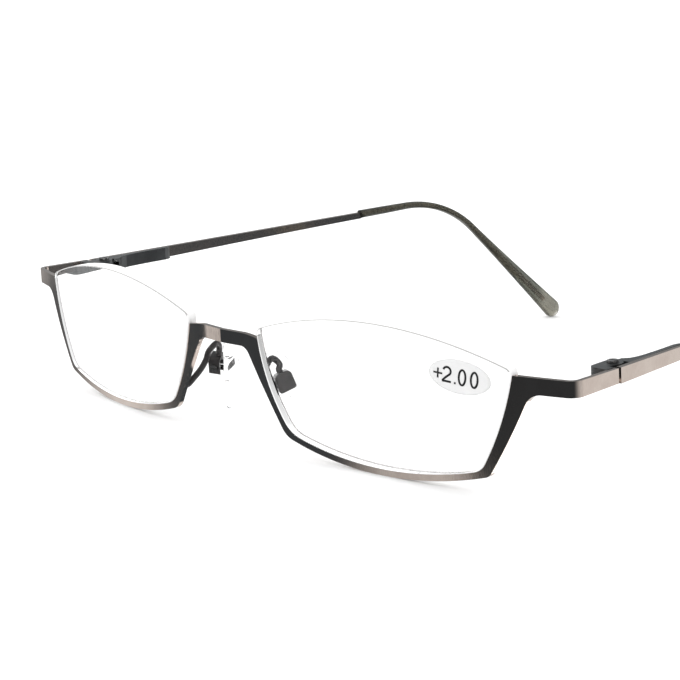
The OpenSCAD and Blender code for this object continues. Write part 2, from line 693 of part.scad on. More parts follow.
// Stations along the tip: centre, height and thickness of its rounded section
function tip_station(s) =
  s < tip_run
    ? let (t = s / tip_run) [[tip_at + s, tip_z], 0, tip_h + (tip_bend_h - tip_h) * t * t]
    : s < tip_run + tip_bend_len
      ? let (a = (s - tip_run) / tip_bend_len * tip_bend)
        [on_circle(bend_c, tip_bend_r, 90 - a), a, tip_bend_h]
      : let (d = s - tip_run - tip_bend_len, t = d / tip_drop)
        [bend_end + drop_dir * d, tip_bend, tip_bend_h + (tip_end_h - tip_bend_h) * pow(t, 1.25)];
tip_bend_len = tip_bend_r * tip_bend * PI / 180;

// Plastic sleeve, lofted from rounded sections, with a round end and a slot for the core
module temple_tip() {
  sides = 16;
  total = tip_run + tip_bend_len + tip_drop;
  body = [for (i = [0 : 26]) tip_station(total * i / 26)];
  last = body[26];
  cap = [for (i = [1 : 5])
    let (a = i * 17)
    [last[0] + drop_dir * last[2] / 2 * sin(a), tip_bend, last[2] * cos(a), cos(a)]];
  rings = concat([for (s = body) [s[0], s[1], s[2], 1]], cap);
  points = [for (s = rings) for (k = [0 : sides - 1])
    let (
      b = k * 360 / sides, wide = tip_t / 2 * (0.35 + 0.65 * s[3]),
      px = wide * sign(cos(b)) * pow(abs(cos(b)), 0.75),
      ph = s[2] / 2 * sign(sin(b)) * pow(abs(sin(b)), 0.85)
    )
    [px - bar_t / 2, s[0][0] + ph * sin(s[1]), s[0][1] + ph * cos(s[1])]];
  difference() {
    side_frame() polyhedron(points, tube_faces(len(rings) - 1, sides));
    side_frame() core(tip_drop - tip_solid + 0.2, core_h + 2 * core_play, core_t + 2 * core_play);
  }
}

// Smooth path through points chosen along the bent wire
function spline_point(p, t) =
  let (
    n = len(p) - 1, u = min(t * n, n - 0.0001), i = floor(u), f = u - i,
    a = p[max(0, i - 1)], b = p[i], c = p[i + 1], d = p[min(n, i + 2)]
  )
  0.5 * (2 * b + (c - a) * f + (2 * a - 5 * b + 4 * c - d) * f * f + (3 * b - a - 3 * c + d) * f * f * f);

// Wire that rises from the back of the rim, loops over and comes down on top of the pad box
module pad_arm() {
  foot_z = -pad_z - 3.5;
  foot_x = (side_x(lens_sides[3], foot_z, -1) + side_x(rim_sides[3], foot_z, -1)) / 2;
  rim_point = [foot_x, face_y(foot_x, foot_z), foot_z];
  out = (ball - rim_point) / norm(ball - rim_point);
  foot = rim_point + out * (sheet_t + seat_play);
  end = [-0.45, 0, box_size / 2 + seat_play];
  route = [
    foot, foot + out * 0.5, foot + [-1.05, 1, 1.2], pad_at + [0.7, -3.1, -0.7],
    pad_at + [-0.7, -2.9, 1.2], pad_at + [-1.35, -2.75, 2.7], pad_at + [-1.6, -1.35, 3.8],
    pad_at + [-1.25, -0.45, 3.35], pad_at + [-0.9, -0.05, 2.6], pad_at + pad_dir(end + [0, 0, 0.5]),
    pad_at + pad_dir(end)
  ];
  steps = 40;
  sides = 10;
  line = [for (i = [0 : steps]) spline_point(route, i / steps)];
  points = [for (i = [0 : steps]) for (k = [0 : sides - 1])
    let (
      d = i < 2 ? out : i == steps ? -pad_dir([0, 0, 1]) : line[i + 1] - line[i - 1], t = d / norm(d),
      u = cross(t, [0.9, 0.44, 0]) / norm(cross(t, [0.9, 0.44, 0])), v = cross(t, u),
      r = arm_d / 2 * (1 + 0.12 * pow(0.4, i))
    )
    line[i] + r * (u * cos(k * 360 / sides) - v * sin(k * 360 / sides))];
  polyhedron(points, tube_faces(steps, sides));
}

// Small box, open below and towards the nose, that takes the ear of the pad core
// Pad frame: x away from the nose, y back along the pad, z up the pad
module pad_box() {
  inner = box_size - 2 * box_wall;
  pad_frame() difference() {
    translate([-box_depth / 2, 0, 0]) rotate([90, 0, 90]) linear_extrude(box_depth) polygon(concat(
      box_corner([1, 1], box_round, 0), box_corner([-1, 1], box_round, 90),
      box_corner([-1, -1], box_round / 2, 180), box_corner([1, -1], box_round / 2, 270)));
    translate([-box_depth / 2 - 1, -inner / 2, -box_size])
      cube([box_depth - box_wall + 1, inner, box_size * 1.5 - box_wall]);
    across(pad_screw_d + 2 * shaft_play, box_size * 2);
  }
}
// Rounded corner of the box in y and z, on the side that it faces, from angle a
function box_corner(side, r, a) =
  [for (i = [0 : 6]) on_circle(side * (box_size / 2 - r), r, a + i * 15)];

// A shaft or bore across the pad frame, about the screw's axis
module across(d, length) {
  rotate([90, 0, 0]) cylinder(d = d, h = length, center = true, $fn = hole_fn);
}

module pad_screw() {
  head_t = 0.35;
  pad_frame() {
    across(pad_screw_d, box_size + 0.1);
    difference() {
      translate([0, -box_size / 2 - 0.05, 0]) rotate([90, 0, 0])
        cylinder(d = pad_head_d, h = head_t, $fn = hole_fn);
      translate([-pad_head_d, -box_size / 2 - 1.05 - head_t / 2, -0.12]) cube([pad_head_d * 2, 1, 0.24]);
    }
  }
}

// Stiff insert: an ear with a bore, and a plate that the pad is moulded on
module pad_core() {
  ear_w = box_size - 2 * box_wall - 2 * shaft_play;
  ear_r = box_depth / 2 - box_wall - 0.05;
  difference() {
    pad_frame() {
      translate([plate_at - core_plate_t / 2, -ear_w / 2, -ear_r])
        cube([core_plate_t / 2 - plate_at, ear_w, ear_r * 2]);
      across(ear_r * 2, ear_w);
      translate([plate_at, 0, -plate_drop]) rotate([0, -90, 0])
        cylinder(d = core_plate_d, h = core_plate_t, $fn = hole_fn);
    }
    pad_frame() across(pad_screw_d + 2 * shaft_play, box_size * 2);
  }
}

// Half width of the pad along its length, from 0 at the lower end to 1 at the top
function pad_half_w(t) = pad_w / 2 * sqrt(max(0, 1 - pow(2 * t - 1, 2))) * (1.08 - 0.36 * t);

// Soft teardrop pad, crowned towards the nose, with a seat for the plate of the core
module nose_pad() {
  sides = 12;
  rows = 16;
  low = -pad_drop - pad_l / 2;
  crown = 0.8;
  mid = plate_at - pad_t / 2;
  points = concat(
    [for (i = [1 : rows - 1]) for (k = [0 : sides - 1])
      let (
        t = (1 - cos(180 * i / rows)) / 2, a = k * 360 / sides,
        d = pad_t / 2 * pow(sin(180 * i / rows), 0.5)
      )
      [mid + crown * pow(2 * t - 1, 2) + d * sin(a), pad_half_w(t) * cos(a), low + pad_l * t]],
    [[mid + crown, 0, low], [mid + crown, 0, low + pad_l]]
  );
  last = (rows - 1) * sides;
  walls = [for (i = [0 : rows - 3]) for (k = [0 : sides - 1])
    [i * sides + k, i * sides + (k + 1) % sides, (i + 1) * sides + (k + 1) % sides, (i + 1) * sides + k]];
  low_fan = [for (k = [0 : sides - 1]) [last, (k + 1) % sides, k]];
  top_fan = [for (k = [0 : sides - 1])
    [last + 1, (rows - 2) * sides + k, (rows - 2) * sides + (k + 1) % sides]];
  difference() {
    pad_frame() polyhedron(points, concat(walls, low_fan, top_fan));
    pad_frame() translate([plate_at + 1, 0, -plate_drop]) rotate([0, -90, 0])
      cylinder(d = core_plate_d + 2 * shaft_play, h = core_plate_t + 1 + shaft_play, $fn = hole_fn);
  }
}

module right_lens() { color("white", 0.3) on_side(-1) lens(); }
module left_lens() { color("white", 0.3) on_side(1) lens(); }
module right_hinge_block() { color("gray") on_side(-1) hinge_block(); }
module left_hinge_block() { color("gray") on_side(1) hinge_block(); }
module right_hinge_screw() { color("silver") on_side(-1) hinge_screw(); }
module left_hinge_screw() { color("silver") on_side(1) hinge_screw(); }
module right_hinge_slider() { color("darkgray") on_side(-1) hinge_slider(); }
module left_hinge_slider() { color("darkgray") on_side(1) hinge_slider(); }
module right_hinge_spring() { color("silver") on_side(-1) hinge_spring(); }
module left_hinge_spring() { color("silver") on_side(1) hinge_spring(); }
module right_hinge_housing() { color("gray") on_side(-1) hinge_housing(); }
module left_hinge_housing() { color("gray") on_side(1) hinge_housing(); }
module right_temple() { color("dimgray") on_side(-1) temple(); }
module left_temple() { color("dimgray") on_side(1) temple(); }
module right_temple_tip() { color("darkolivegreen", 0.8) on_side(-1) temple_tip(); }
module left_temple_tip() { color("darkolivegreen", 0.8) on_side(1) temple_tip(); }
module right_pad_arm() { color("gray") on_side(-1) pad_arm(); }
module left_pad_arm() { color("gray") on_side(1) pad_arm(); }
module right_pad_box() { color("gray") on_side(-1) pad_box(); }
module left_pad_box() { color("gray") on_side(1) pad_box(); }
module right_pad_screw() { color("silver") on_side(-1) pad_screw(); }
module left_pad_screw() { color("silver") on_side(1) pad_screw(); }
module right_pad_core() { color("lightgray") on_side(-1) pad_core(); }
module left_pad_core() { color("lightgray") on_side(1) pad_core(); }
module right_nose_pad() { color("white", 0.4) on_side(-1) nose_pad(); }
module left_nose_pad() { color("white", 0.4) on_side(1) nose_pad(); }

front_frame();
right_lens();
left_lens();
right_hinge_block();
left_hinge_block();
right_hinge_screw();
left_hinge_screw();
right_hinge_slider();
left_hinge_slider();
right_hinge_spring();
left_hinge_spring();
right_hinge_housing();
left_hinge_housing();
right_temple();
left_temple();
right_temple_tip();
left_temple_tip();
right_pad_arm();
left_pad_arm();
right_pad_box();
left_pad_box();
right_pad_screw();
left_pad_screw();
right_pad_core();
left_pad_core();
right_nose_pad();
left_nose_pad();
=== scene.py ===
import math

import bpy
import numpy as np
from mathutils import Matrix, Vector


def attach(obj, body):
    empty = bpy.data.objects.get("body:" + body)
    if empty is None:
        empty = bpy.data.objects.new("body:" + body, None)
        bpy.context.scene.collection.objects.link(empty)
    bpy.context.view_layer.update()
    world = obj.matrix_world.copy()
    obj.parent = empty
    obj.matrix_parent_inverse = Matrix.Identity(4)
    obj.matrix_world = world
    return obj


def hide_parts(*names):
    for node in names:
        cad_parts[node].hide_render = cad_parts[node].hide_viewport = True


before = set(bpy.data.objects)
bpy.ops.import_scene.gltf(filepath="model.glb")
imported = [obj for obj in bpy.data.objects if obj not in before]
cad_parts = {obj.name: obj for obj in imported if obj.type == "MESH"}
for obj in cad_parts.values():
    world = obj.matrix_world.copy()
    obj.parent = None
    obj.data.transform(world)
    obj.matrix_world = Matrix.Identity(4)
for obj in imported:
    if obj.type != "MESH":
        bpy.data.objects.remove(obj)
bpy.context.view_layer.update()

# The front: one pressed sheet of nickel silver that makes both half-rims, the bridge and the
# end pieces. It is brushed across its length and plated a warm gunmetal, and stays glossy.


class Value:
    """One output of a node. Sums, products and the like of values add their Math nodes."""

    def __init__(self, paint, socket):
        self.paint = paint
        self.socket = socket

    def maths(self, operation, *others):
        """A Math node that works on this value and the others."""
        return self.paint.node("ShaderNodeMath", {"operation": operation}, [self, *others])

    def __add__(self, other):
        return self.maths("ADD", other)

    __radd__ = __add__

    def __mul__(self, other):
        return self.maths("MULTIPLY", other)

    __rmul__ = __mul__

    def __sub__(self, other):
        return self.maths("SUBTRACT", other)

    def __rsub__(self, other):
        return self.paint.node("ShaderNodeMath", {"operation": "SUBTRACT"}, [other, self])


class Paint:
    """A node tree that is filled in by Python expressions. Any node comes from node()."""

    def __init__(self, tree):
        self.tree = tree
        tree.nodes.clear()

    def node(self, kind, settings=None, sockets=None, output=0):
        """Adds a node of that kind, sets its settings, then the values or links of its sockets."""
        made = self.tree.nodes.new(kind)
        for key, setting in (settings or {}).items():
            setattr(made, key, setting)
        given = sockets or {}
        pairs = given.items() if isinstance(given, dict) else enumerate(given)
        for key, value in pairs:
            if isinstance(value, Value):
                self.tree.links.new(value.socket, made.inputs[key])
            else:
                made.inputs[key].default_value = value
        return Value(self, made.outputs[output]) if made.outputs else None

    def blend(self, factor, low, high):
        """Mixes two colours by a factor. Sockets 6 and 7 of a Mix node take colours."""
        settings = {"data_type": "RGBA"}
        return self.node("ShaderNodeMix", settings, {0: factor, 6: low, 7: high}, output=2)

    def step(self, value, start, end):
        """Rises smoothly from 0 where value is start to 1 where it is end."""
        return self.node(
            "ShaderNodeMapRange",
            {"interpolation_type": "SMOOTHSTEP"},
            {"Value": value, "From Min": start, "From Max": end, "To Min": 0.0, "To Max": 1.0},
        )


def new_material(name):
    """An empty material, and the paint that fills it in."""
    material = bpy.data.materials.new(name)
    material.use_nodes = True
    return material, Paint(material.node_tree)


def grain(paint, along, upright):
    """Noise on Object coordinates, with grains of those sizes in metres, level and upright."""
    place = paint.node("ShaderNodeTexCoord", output="Object")
    scale = (1 / along, 1 / along, 1 / upright)
    scaled = paint.node("ShaderNodeMapping", {}, {"Vector": place, "Scale": scale})
    return paint.node("ShaderNodeTexNoise", {}, {"Vector": scaled, "Scale": 1.0, "Detail": 3.0})


BRUSH_FINE, BRUSH_LONG, PLATING_CLOUD = 0.00022, 0.0009, 0.004


def brushed_metal(name, colour, worn, roughness, depth, metallic=1.0):
    """Plated metal: fine brush lines that tilt the surface, and faint clouds in the plating."""
    material, paint = new_material(name)
    lines = grain(paint, BRUSH_FINE, BRUSH_LONG)
    clouds = grain(paint, PLATING_CLOUD, PLATING_CLOUD)
    finish = paint.node("ShaderNodeBump", {}, {"Strength": 1.0, "Distance": depth, "Height": lines})
    surface = paint.node(
        "ShaderNodeBsdfPrincipled",
        {},
        {
            "Base Color": paint.blend(paint.step(clouds + lines * 0.3, 0.4, 0.9), colour, worn),
            "Metallic": metallic,
            "Roughness": roughness + lines * 0.06 + clouds * 0.04,
            "Normal": finish,
        },
    )
    paint.node("ShaderNodeOutputMaterial", {}, {"Surface": surface})
    return material


def dress(node, material):
    """Gives a CAD node its finish."""
    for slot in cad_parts[node].material_slots:
        slot.material = material


gunmetal = brushed_metal("gunmetal", (0.62, 0.53, 0.475, 1), (0.55, 0.46, 0.41, 1), 0.06, 3e-6)
dress("front_frame", gunmetal)

# The lenses: clear plastic reading lenses with a free arched upper edge. The front lies on the ball
# that the metal is pressed to, and the back is almost flat. The edge is ground and left frosted,
# with a small bevel on both sides, and the groove of the half-rim holds its lower part.

STANCE = math.radians(5.34593)
STAND = np.array([0, -71.8566, 18.1837])
SIDES = {"left": 1, "right": -1}


def stood(points, side=1):
    """Worn millimetres to the standing frame in metres: mirrored, tipped and moved."""
    x, y, z = np.asarray(points, float).T
    c, s = math.cos(STANCE), math.sin(STANCE)
    return (np.stack([side * x, y * c - z * s, y * s + z * c], -1) + STAND) / 1000


def circle_point(centre, radius, angle):
    """The point of a circle at an angle, or its points at an array of angles."""
    return centre + radius * np.stack([np.cos(angle), np.sin(angle)], -1)


def bulge_centre(a, b, radius):
    """Centre of the arc from a to b that bulges to the right of the way from a to b."""
    d = b - a
    length = np.hypot(*d)
    rise = math.sqrt(radius**2 - length**2 / 4)
    return (a + b) / 2 + np.array([-d[1], d[0]]) / length * rise


def crossing(c1, r1, c2, r2, near):
    """Crossing of two circles that lies nearest to a point."""
    d = c2 - c1
    length = np.hypot(*d)
    along = (r1**2 - r2**2 + length**2) / (2 * length)
    off = np.array([-d[1], d[0]]) / length * math.sqrt(r1**2 - along**2)
    middle = c1 + d * along / length
    return min((middle + off, middle - off), key=lambda p: np.hypot(*(p - near)))


ROUND_STEPS, SIDE_STEPS = 24, 90


def rounded_outline(corners, radii, rounds, grow):
    """Closed outline moved out by grow: for each corner an arc round it, then the arc to the next."""
    count = len(corners)
    centres = [bulge_centre(corners[i], corners[(i + 1) % count], radii[i]) for i in range(count)]
    middles = [
        crossing(
            centres[i - 1], radii[i - 1] - rounds[i], centres[i], radii[i] - rounds[i], corners[i]
        )
        for i in range(count)
    ]
    points = []
    for i in range(count):
        start, end = (
            math.atan2(*(middles[j] - centres[i])[::-1]) for j in (i, (i + 1) % count)
        )
        before = math.atan2(*(middles[i] - centres[i - 1])[::-1])
        turn = np.linspace(0, (start - before + math.pi) % math.tau - math.pi, ROUND_STEPS)
        sweep = np.linspace(0, (end - start + math.pi) % math.tau - math.pi, SIDE_STEPS)[1:-1]
        points.append(circle_point(middles[i], rounds[i] + grow, before + turn))
        points.append(circle_point(centres[i], radii[i] + grow, start + sweep))
    return np.concatenate(points)


def new_piece(name, points, faces, material, smooth=True):
    """A mesh object at the origin from points in metres and faces as rows of point numbers."""
    mesh = bpy.data.meshes.new(name)
    mesh.from_pydata(np.asarray(points).tolist(), [], [list(f) for f in faces])
    mesh.polygons.foreach_set("use_smooth", np.full(len(mesh.polygons), smooth))
    mesh.materials.append(material)
    mesh.update()
    piece = bpy.data.objects.new(name, mesh)
    bpy.context.scene.collection.objects.link(piece)
    return piece


def closed_skin(rows, turn=1):
    """Points and faces of rows of points that close on themselves, each end drawn to one pole."""
    count, columns = rows.shape[:2]
    points = np.concatenate([rows.reshape(-1, 3), rows[[0, -1]].mean(1)])
    row = np.arange(count - 1)[:, None] * columns
    here = np.arange(columns)
    there = (here + 1) % columns
    last = (count - 1) * columns
    faces = np.stack([row + here, row + there, row + there + columns, row + here + columns], -1)
    faces = faces.reshape(-1, 4).tolist()
    faces += np.stack([there, here, np.full(columns, last + columns)], -1).tolist()
    faces += np.stack([here + last, there + last, np.full(columns, last + columns + 1)], -1).tolist()
    return points, [face[::turn] for face in faces]


LENS_GAP, LENS_W, LENS_DROP, LENS_RISE = 17.7, 50.65, 14.8, 1.95
LENS_NEAR_LEAN, LENS_FAR_LEAN, LENS_SKEW = 6.75, 6.1, 0.35
LENS_NEAR = LENS_GAP / 2
LENS_FAR = LENS_NEAR + LENS_W
LENS_CORNERS = [
    np.array(corner)
    for corner in (
        (LENS_NEAR + LENS_NEAR_LEAN, -LENS_DROP + LENS_SKEW),
        (LENS_FAR - LENS_FAR_LEAN, -LENS_DROP - LENS_SKEW),
        (LENS_FAR, LENS_RISE - LENS_SKEW),
        (LENS_NEAR, LENS_RISE + LENS_SKEW),
    )
]
LENS_SIDES = (68, 46, 74, 35)
LENS_ROUNDS = (5.2, 3, 1.3, 1.3)
LENS_PLAY = 0.03
LENS_PROUD = 0.3
LENS_THICK = 3.3
LENS_POWER, LENS_INDEX = 2, 1.5
BALL_R, BALL_LEAN = 220, math.radians(1)
LENS_MID_OUT = 0.1
LENS_MID = np.array([(LENS_NEAR + LENS_FAR) / 2 + LENS_MID_OUT, (LENS_RISE - LENS_DROP) / 2])
BALL = np.array([0, BALL_R, LENS_MID[1] + BALL_R * math.sin(BALL_LEAN)])
LENS_BACK_R = 1 / (1 / (BALL_R + LENS_PROUD) - LENS_POWER / (LENS_INDEX - 1) / 1000)
LENS_BEVEL = 0.16
LENS_LIP = 0.06
LENS_RINGS, FIRST_RING = 26, 0.02
WALL_ROWS = 5

# The outline's points that run along the free upper edge, its third side, from the middle of the
# round before it to the middle of the round after it.
SIDE_POINTS = ROUND_STEPS + SIDE_STEPS - 2
FREE_COLUMNS = slice(2 * SIDE_POINTS + ROUND_STEPS // 2, 3 * SIDE_POINTS + ROUND_STEPS // 2)


def front_y(x, z, proud):
    """Depth of the lens front behind the bridge: a ball that stands proud of the metal's ball."""
    return BALL[1] - np.sqrt((BALL_R + proud) ** 2 - x**2 - (z - BALL[2]) ** 2)


def back_y(x, z):
    """Depth of the lens back: a wide ball on the lens axis, set by thickness and power."""
    middle = np.array([LENS_MID[0], front_y(*LENS_MID, 0), LENS_MID[1]])
    axis = (BALL - middle) / np.linalg.norm(BALL - middle)
    centre = middle + axis * (LENS_THICK - LENS_PROUD + LENS_BACK_R)
    return centre[1] - np.sqrt(LENS_BACK_R**2 - (x - centre[0]) ** 2 - (z - centre[2]) ** 2)


def lens_rows():
    """Rows of points from the middle of the front out to the edge and back to the middle.

    A row on a face is the outline drawn in to a share of its size. The shares follow a sine, so that
    the rows lie closer near the edge. The rows of the wall run straight from bevel to bevel.
    """
    reach = rounded_outline(LENS_CORNERS, LENS_SIDES, LENS_ROUNDS, -LENS_PLAY)
    inner = rounded_outline(LENS_CORNERS, LENS_SIDES, LENS_ROUNDS, -LENS_PLAY - LENS_BEVEL)
    shares = np.sin(np.linspace(FIRST_RING, 1, LENS_RINGS) * math.pi / 2)[:, None, None]
    faces = LENS_MID + shares * (inner - LENS_MID)
    x, z = faces[..., 0], faces[..., 1]
    front = np.stack([x, front_y(x, z, LENS_PROUD), z], -1)
    back = np.stack([x, back_y(x, z), z], -1)[::-1]
    x, z = reach.T
    fore = front_y(*inner.T, LENS_PROUD) + LENS_BEVEL
    aft = back_y(*inner.T) - LENS_BEVEL
    across = np.append(np.linspace(0, 1 - LENS_LIP, WALL_ROWS - 1), 1)[:, None]
    wall = np.stack(np.broadcast_arrays(x, fore + (aft - fore) * across, z), -1)
    return np.concatenate([front, wall, back])


HAZE_CLOUD = 0.006


def clear_plastic(name, tint, roughness, ior):
    """Clear plastic with the faintest unevenness in its gloss."""
    material, paint = new_material(name)
    haze = grain(paint, HAZE_CLOUD, HAZE_CLOUD)
    surface = paint.node(
        "ShaderNodeBsdfPrincipled",
        {},
        {
            "Base Color": tint,
            "Roughness": roughness + haze * 0.01,
            "Transmission Weight": 1.0,
            "IOR": ior,
        },
    )
    paint.node("ShaderNodeOutputMaterial", {}, {"Surface": surface})
    return material


# The plastic's real index is 1.5. With it, light held between the two faces shows as black patches
# in steep views, so the lenses are shown with a lower one.
SHOWN_INDEX = 1.33
GRIND_LONG, GRIND_FINE, SCRATCH_DEEP = 0.0012, 0.0003, 2e-6


def ground_edge(name, dull, bright, roughness):
    """Ground plastic: frosted where it is seen from outside, clear from inside the lens."""
    material, paint = new_material(name)
    lines = grain(paint, GRIND_LONG, GRIND_FINE)
    colour = paint.blend(lines, dull, bright)
    scratches = paint.node("ShaderNodeBump", {}, {"Distance": SCRATCH_DEEP, "Height": lines})
    frosted = paint.node(
        "ShaderNodeBsdfPrincipled",
        {},
        {
            "Base Color": colour,
            "Roughness": 0.8 + lines * 0.1,
            "Specular IOR Level": 0.1,
            "Normal": scratches,
        },
    )
    clear = paint.node(
        "ShaderNodeBsdfPrincipled",
        {},
        {
            "Base Color": colour,
            "Roughness": roughness + lines * 0.02,
            "Transmission Weight": 1.0,
            "IOR": SHOWN_INDEX,
        },
    )
    inside = paint.node("ShaderNodeNewGeometry", output="Backfacing")
    surface = paint.node("ShaderNodeMixShader", {}, [inside, frosted, clear])
    paint.node("ShaderNodeOutputMaterial", {}, {"Surface": surface})
    return material


# The edge's materials: its wall, the free bevel behind, the bevel that sits in the groove behind,
# and the free bevel in front. The three bevels are darker copies of the ground wall. They are painted
# shade:
# grey lines along the free edge, and the groove's shadow behind.
lens_plastic = clear_plastic("lens_plastic", (1, 1, 1, 1), 0.0, SHOWN_INDEX)
lens_edge = ground_edge("lens_edge", (0.97, 0.965, 0.96, 1), (1, 1, 1, 1), 0.0)
# Painted shade: a grey copy of the white ground edge for the free edge's lip and bevel behind. It draws
# a thin grey line along the edge.
lens_bevel_shade = ground_edge("lens_bevel_shade", (0.64, 0.635, 0.635, 1), (0.74, 0.735, 0.735, 1), 0.25)
# Painted shade: a near-black copy of the ground edge for the bevel in the groove. It stands in for the
# groove's shadow and the dark metal it faces.
lens_groove_shadow = ground_edge("lens_groove_shadow", (0.06, 0.055, 0.055, 1), (0.12, 0.11, 0.105, 1), 0.3)
# Painted shade: a darker grey copy for the free edge's front bevel. It draws the darker line along the
# edge's front.
lens_rise = ground_edge("lens_rise", (0.4, 0.395, 0.39, 1), (0.5, 0.495, 0.49, 1), 0.25)
EDGE, BEVEL, GROOVE_SHADOW, RISE = 1, 2, 3, 4
FRONT_BEVEL = LENS_RINGS - 1
LIP_ROW = FRONT_BEVEL + WALL_ROWS - 1
BACK_BEVEL = LIP_ROW + 1
for name, side in SIDES.items():
    rows = lens_rows()
    points, faces = closed_skin(rows, -side)
    lens = new_piece(f"{name}_lens_blank", stood(points, side), faces, lens_plastic)
    for finish in (lens_edge, lens_bevel_shade, lens_groove_shadow, lens_rise):
        lens.data.materials.append(finish)
    count, columns = rows.shape[:2]
    finishes_and_shades = np.zeros(len(faces), int)
    bands = finishes_and_shades[: (count - 1) * columns].reshape(count - 1, columns)
    bands[FRONT_BEVEL:BACK_BEVEL] = EDGE
    # Painted shade: the groove's shadow on the whole bevel behind.
    bands[BACK_BEVEL] = GROOVE_SHADOW
    # Painted shade: grey lines on the free edge's front bevel, then on its lip and bevel behind.
    bands[FRONT_BEVEL, FREE_COLUMNS] = RISE
    bands[LIP_ROW : BACK_BEVEL + 1, FREE_COLUMNS] = BEVEL
    lens.data.polygons.foreach_set("material_index", finishes_and_shades)
    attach(lens, "front")
    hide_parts(f"{name}_lens")

# The power label: a thin oval sticker of frosted film on the wearer's left lens, with the
# reading power printed on it in narrow black figures. It peels off before use.

LABEL_AT = np.array([50.67, -0.29])
LABEL_HALF = np.array([5.45, 2.7])
LABEL_TILT = math.radians(-4.8)
LABEL_THICK, LABEL_GAP = 0.05, 0.004
LABEL_RINGS, LABEL_STEPS = 10, 97
INK_TOP, INK_GAP = 0.02, 0.002
FIGURE_H, STROKE = 2.75, 0.34
FIGURE_TOP = FIGURE_H / 2 - STROKE / 2
PLUS_HALF, PLUS_STROKE = 0.8, STROKE * 0.85
BOW_R, BASE_LIFT = 0.66, 0.13
POINT_HALF, POINT_LIFT = 0.16, 0.27
ZERO_HALF = 0.58
PLUS_AT, TWO_AT, POINT_AT, ZEROS_AT = -3.81, -2.19, -0.72, (0.5, 2.61)


def ribbon(path, width, close=False):
    """Both edges of a flat band, set off square to the mean of the ways in and out of each point."""
    path = np.asarray(path, float)
    ahead = np.roll(path, -1, 0) - path
    behind = path - np.roll(path, 1, 0)
    if not close:
        ahead[-1], behind[0] = behind[-1], ahead[0]
    ahead /= np.linalg.norm(ahead, axis=1)[:, None]
    behind /= np.linalg.norm(behind, axis=1)[:, None]
    along = ahead + behind
    along /= np.linalg.norm(along, axis=1)[:, None]
    square = np.stack([-along[:, 1], along[:, 0]], -1) * width / 2
    return np.stack([path - square, path + square], 1), close


def arc(cx, cy, rx, ry, start, end, steps=28):
    """Points along an ellipse from one angle to another, in degrees."""
    a = np.radians(np.linspace(start, end, steps))
    return np.stack([cx + rx * np.cos(a), cy + ry * np.sin(a)], -1)


def figure_zero(x):
    """A closed band round an ellipse."""
    return [ribbon(arc(x, 0, ZERO_HALF, FIGURE_TOP, 0, 360)[:-1], STROKE, True)]


def figure_two(x):
    """A band round a bow and down to the foot, and a straight base."""
    low = BASE_LIFT - FIGURE_TOP
    bow = arc(x, FIGURE_TOP - BOW_R, BOW_R, BOW_R, 165, -38, 22)
    foot = np.array([[x - 0.15, -0.42], [x - 0.7, low + 0.12], [x - 0.7, low]])
    base = np.array([[x - 0.83, low], [x + 0.78, low]])
    return [ribbon(np.concatenate([bow, foot]), STROKE), ribbon(base, STROKE)]


def figure_plus(x):
    """Two straight bands that cross."""
    return [
        ribbon([[x - PLUS_HALF, 0], [x + PLUS_HALF, 0]], PLUS_STROKE),
        ribbon([[x, -PLUS_HALF], [x, PLUS_HALF]], PLUS_STROKE),
    ]


def figure_point(x):
    """A band as long as it is wide."""
    middle = POINT_LIFT - FIGURE_H / 2
    return [ribbon([[x - POINT_HALF, middle], [x + POINT_HALF, middle]], 2 * POINT_HALF)]


def band_faces(count, close):
    """Faces of a band's top, underside and sides, step by step, and of its ends unless it closes."""
    here = np.arange(count if close else count - 1)
    a, b = 2 * here, 2 * ((here + 1) % count)
    under = 2 * count
    c, d = a + under, b + under
    top, bottom = [a, b, b + 1, a + 1], [c, c + 1, d + 1, d]
    inner, outer = [a, c, d, b], [a + 1, b + 1, d + 1, c + 1]
    faces = np.array([top, bottom, inner, outer]).transpose(2, 0, 1).reshape(-1, 4)
    if close:
        return faces
    end = under - 2
    ends = [[0, 1, under + 1, under], [end, end + under, end + under + 1, end + 1]]
    return np.concatenate([faces, ends])


def on_lens(flat, height):
    """Flat label points, from its middle, tilted and laid at a height over the lens front."""
    c, s = math.cos(LABEL_TILT), math.sin(LABEL_TILT)
    x, z = (flat @ np.array([[c, s], [-s, c]]) + LABEL_AT).T
    return np.stack([x, front_y(x, z, LENS_PROUD + height), z], -1)


FILM_FIBRE, INK_SPECK = 0.0004, 0.0002


def label_film():
    """The sticker's film: whitish and a little see-through."""
    material, paint = new_material("label_film")
    fibres = grain(paint, FILM_FIBRE, FILM_FIBRE)
    surface = paint.node(
        "ShaderNodeBsdfPrincipled",
        {},
        {
            "Base Color": paint.blend(fibres, (0.74, 0.74, 0.74, 1), (0.79, 0.79, 0.79, 1)),
            "Roughness": 0.45 + fibres * 0.1,
            "Alpha": 0.7,
        },
    )
    paint.node("ShaderNodeOutputMaterial", {}, {"Surface": surface})
    return material


def print_ink():
    """Black ink, a little uneven where the film's grain shows through."""
    material, paint = new_material("print_ink")
    specks = grain(paint, INK_SPECK, INK_SPECK)
    surface = paint.node(
        "ShaderNodeBsdfPrincipled",
        {},
        {
            "Base Color": paint.blend(specks, (0.006, 0.006, 0.007, 1), (0.02, 0.02, 0.022, 1)),
            "Roughness": 0.5 + specks * 0.2,
        },
    )
    paint.node("ShaderNodeOutputMaterial", {}, {"Surface": surface})
    return material


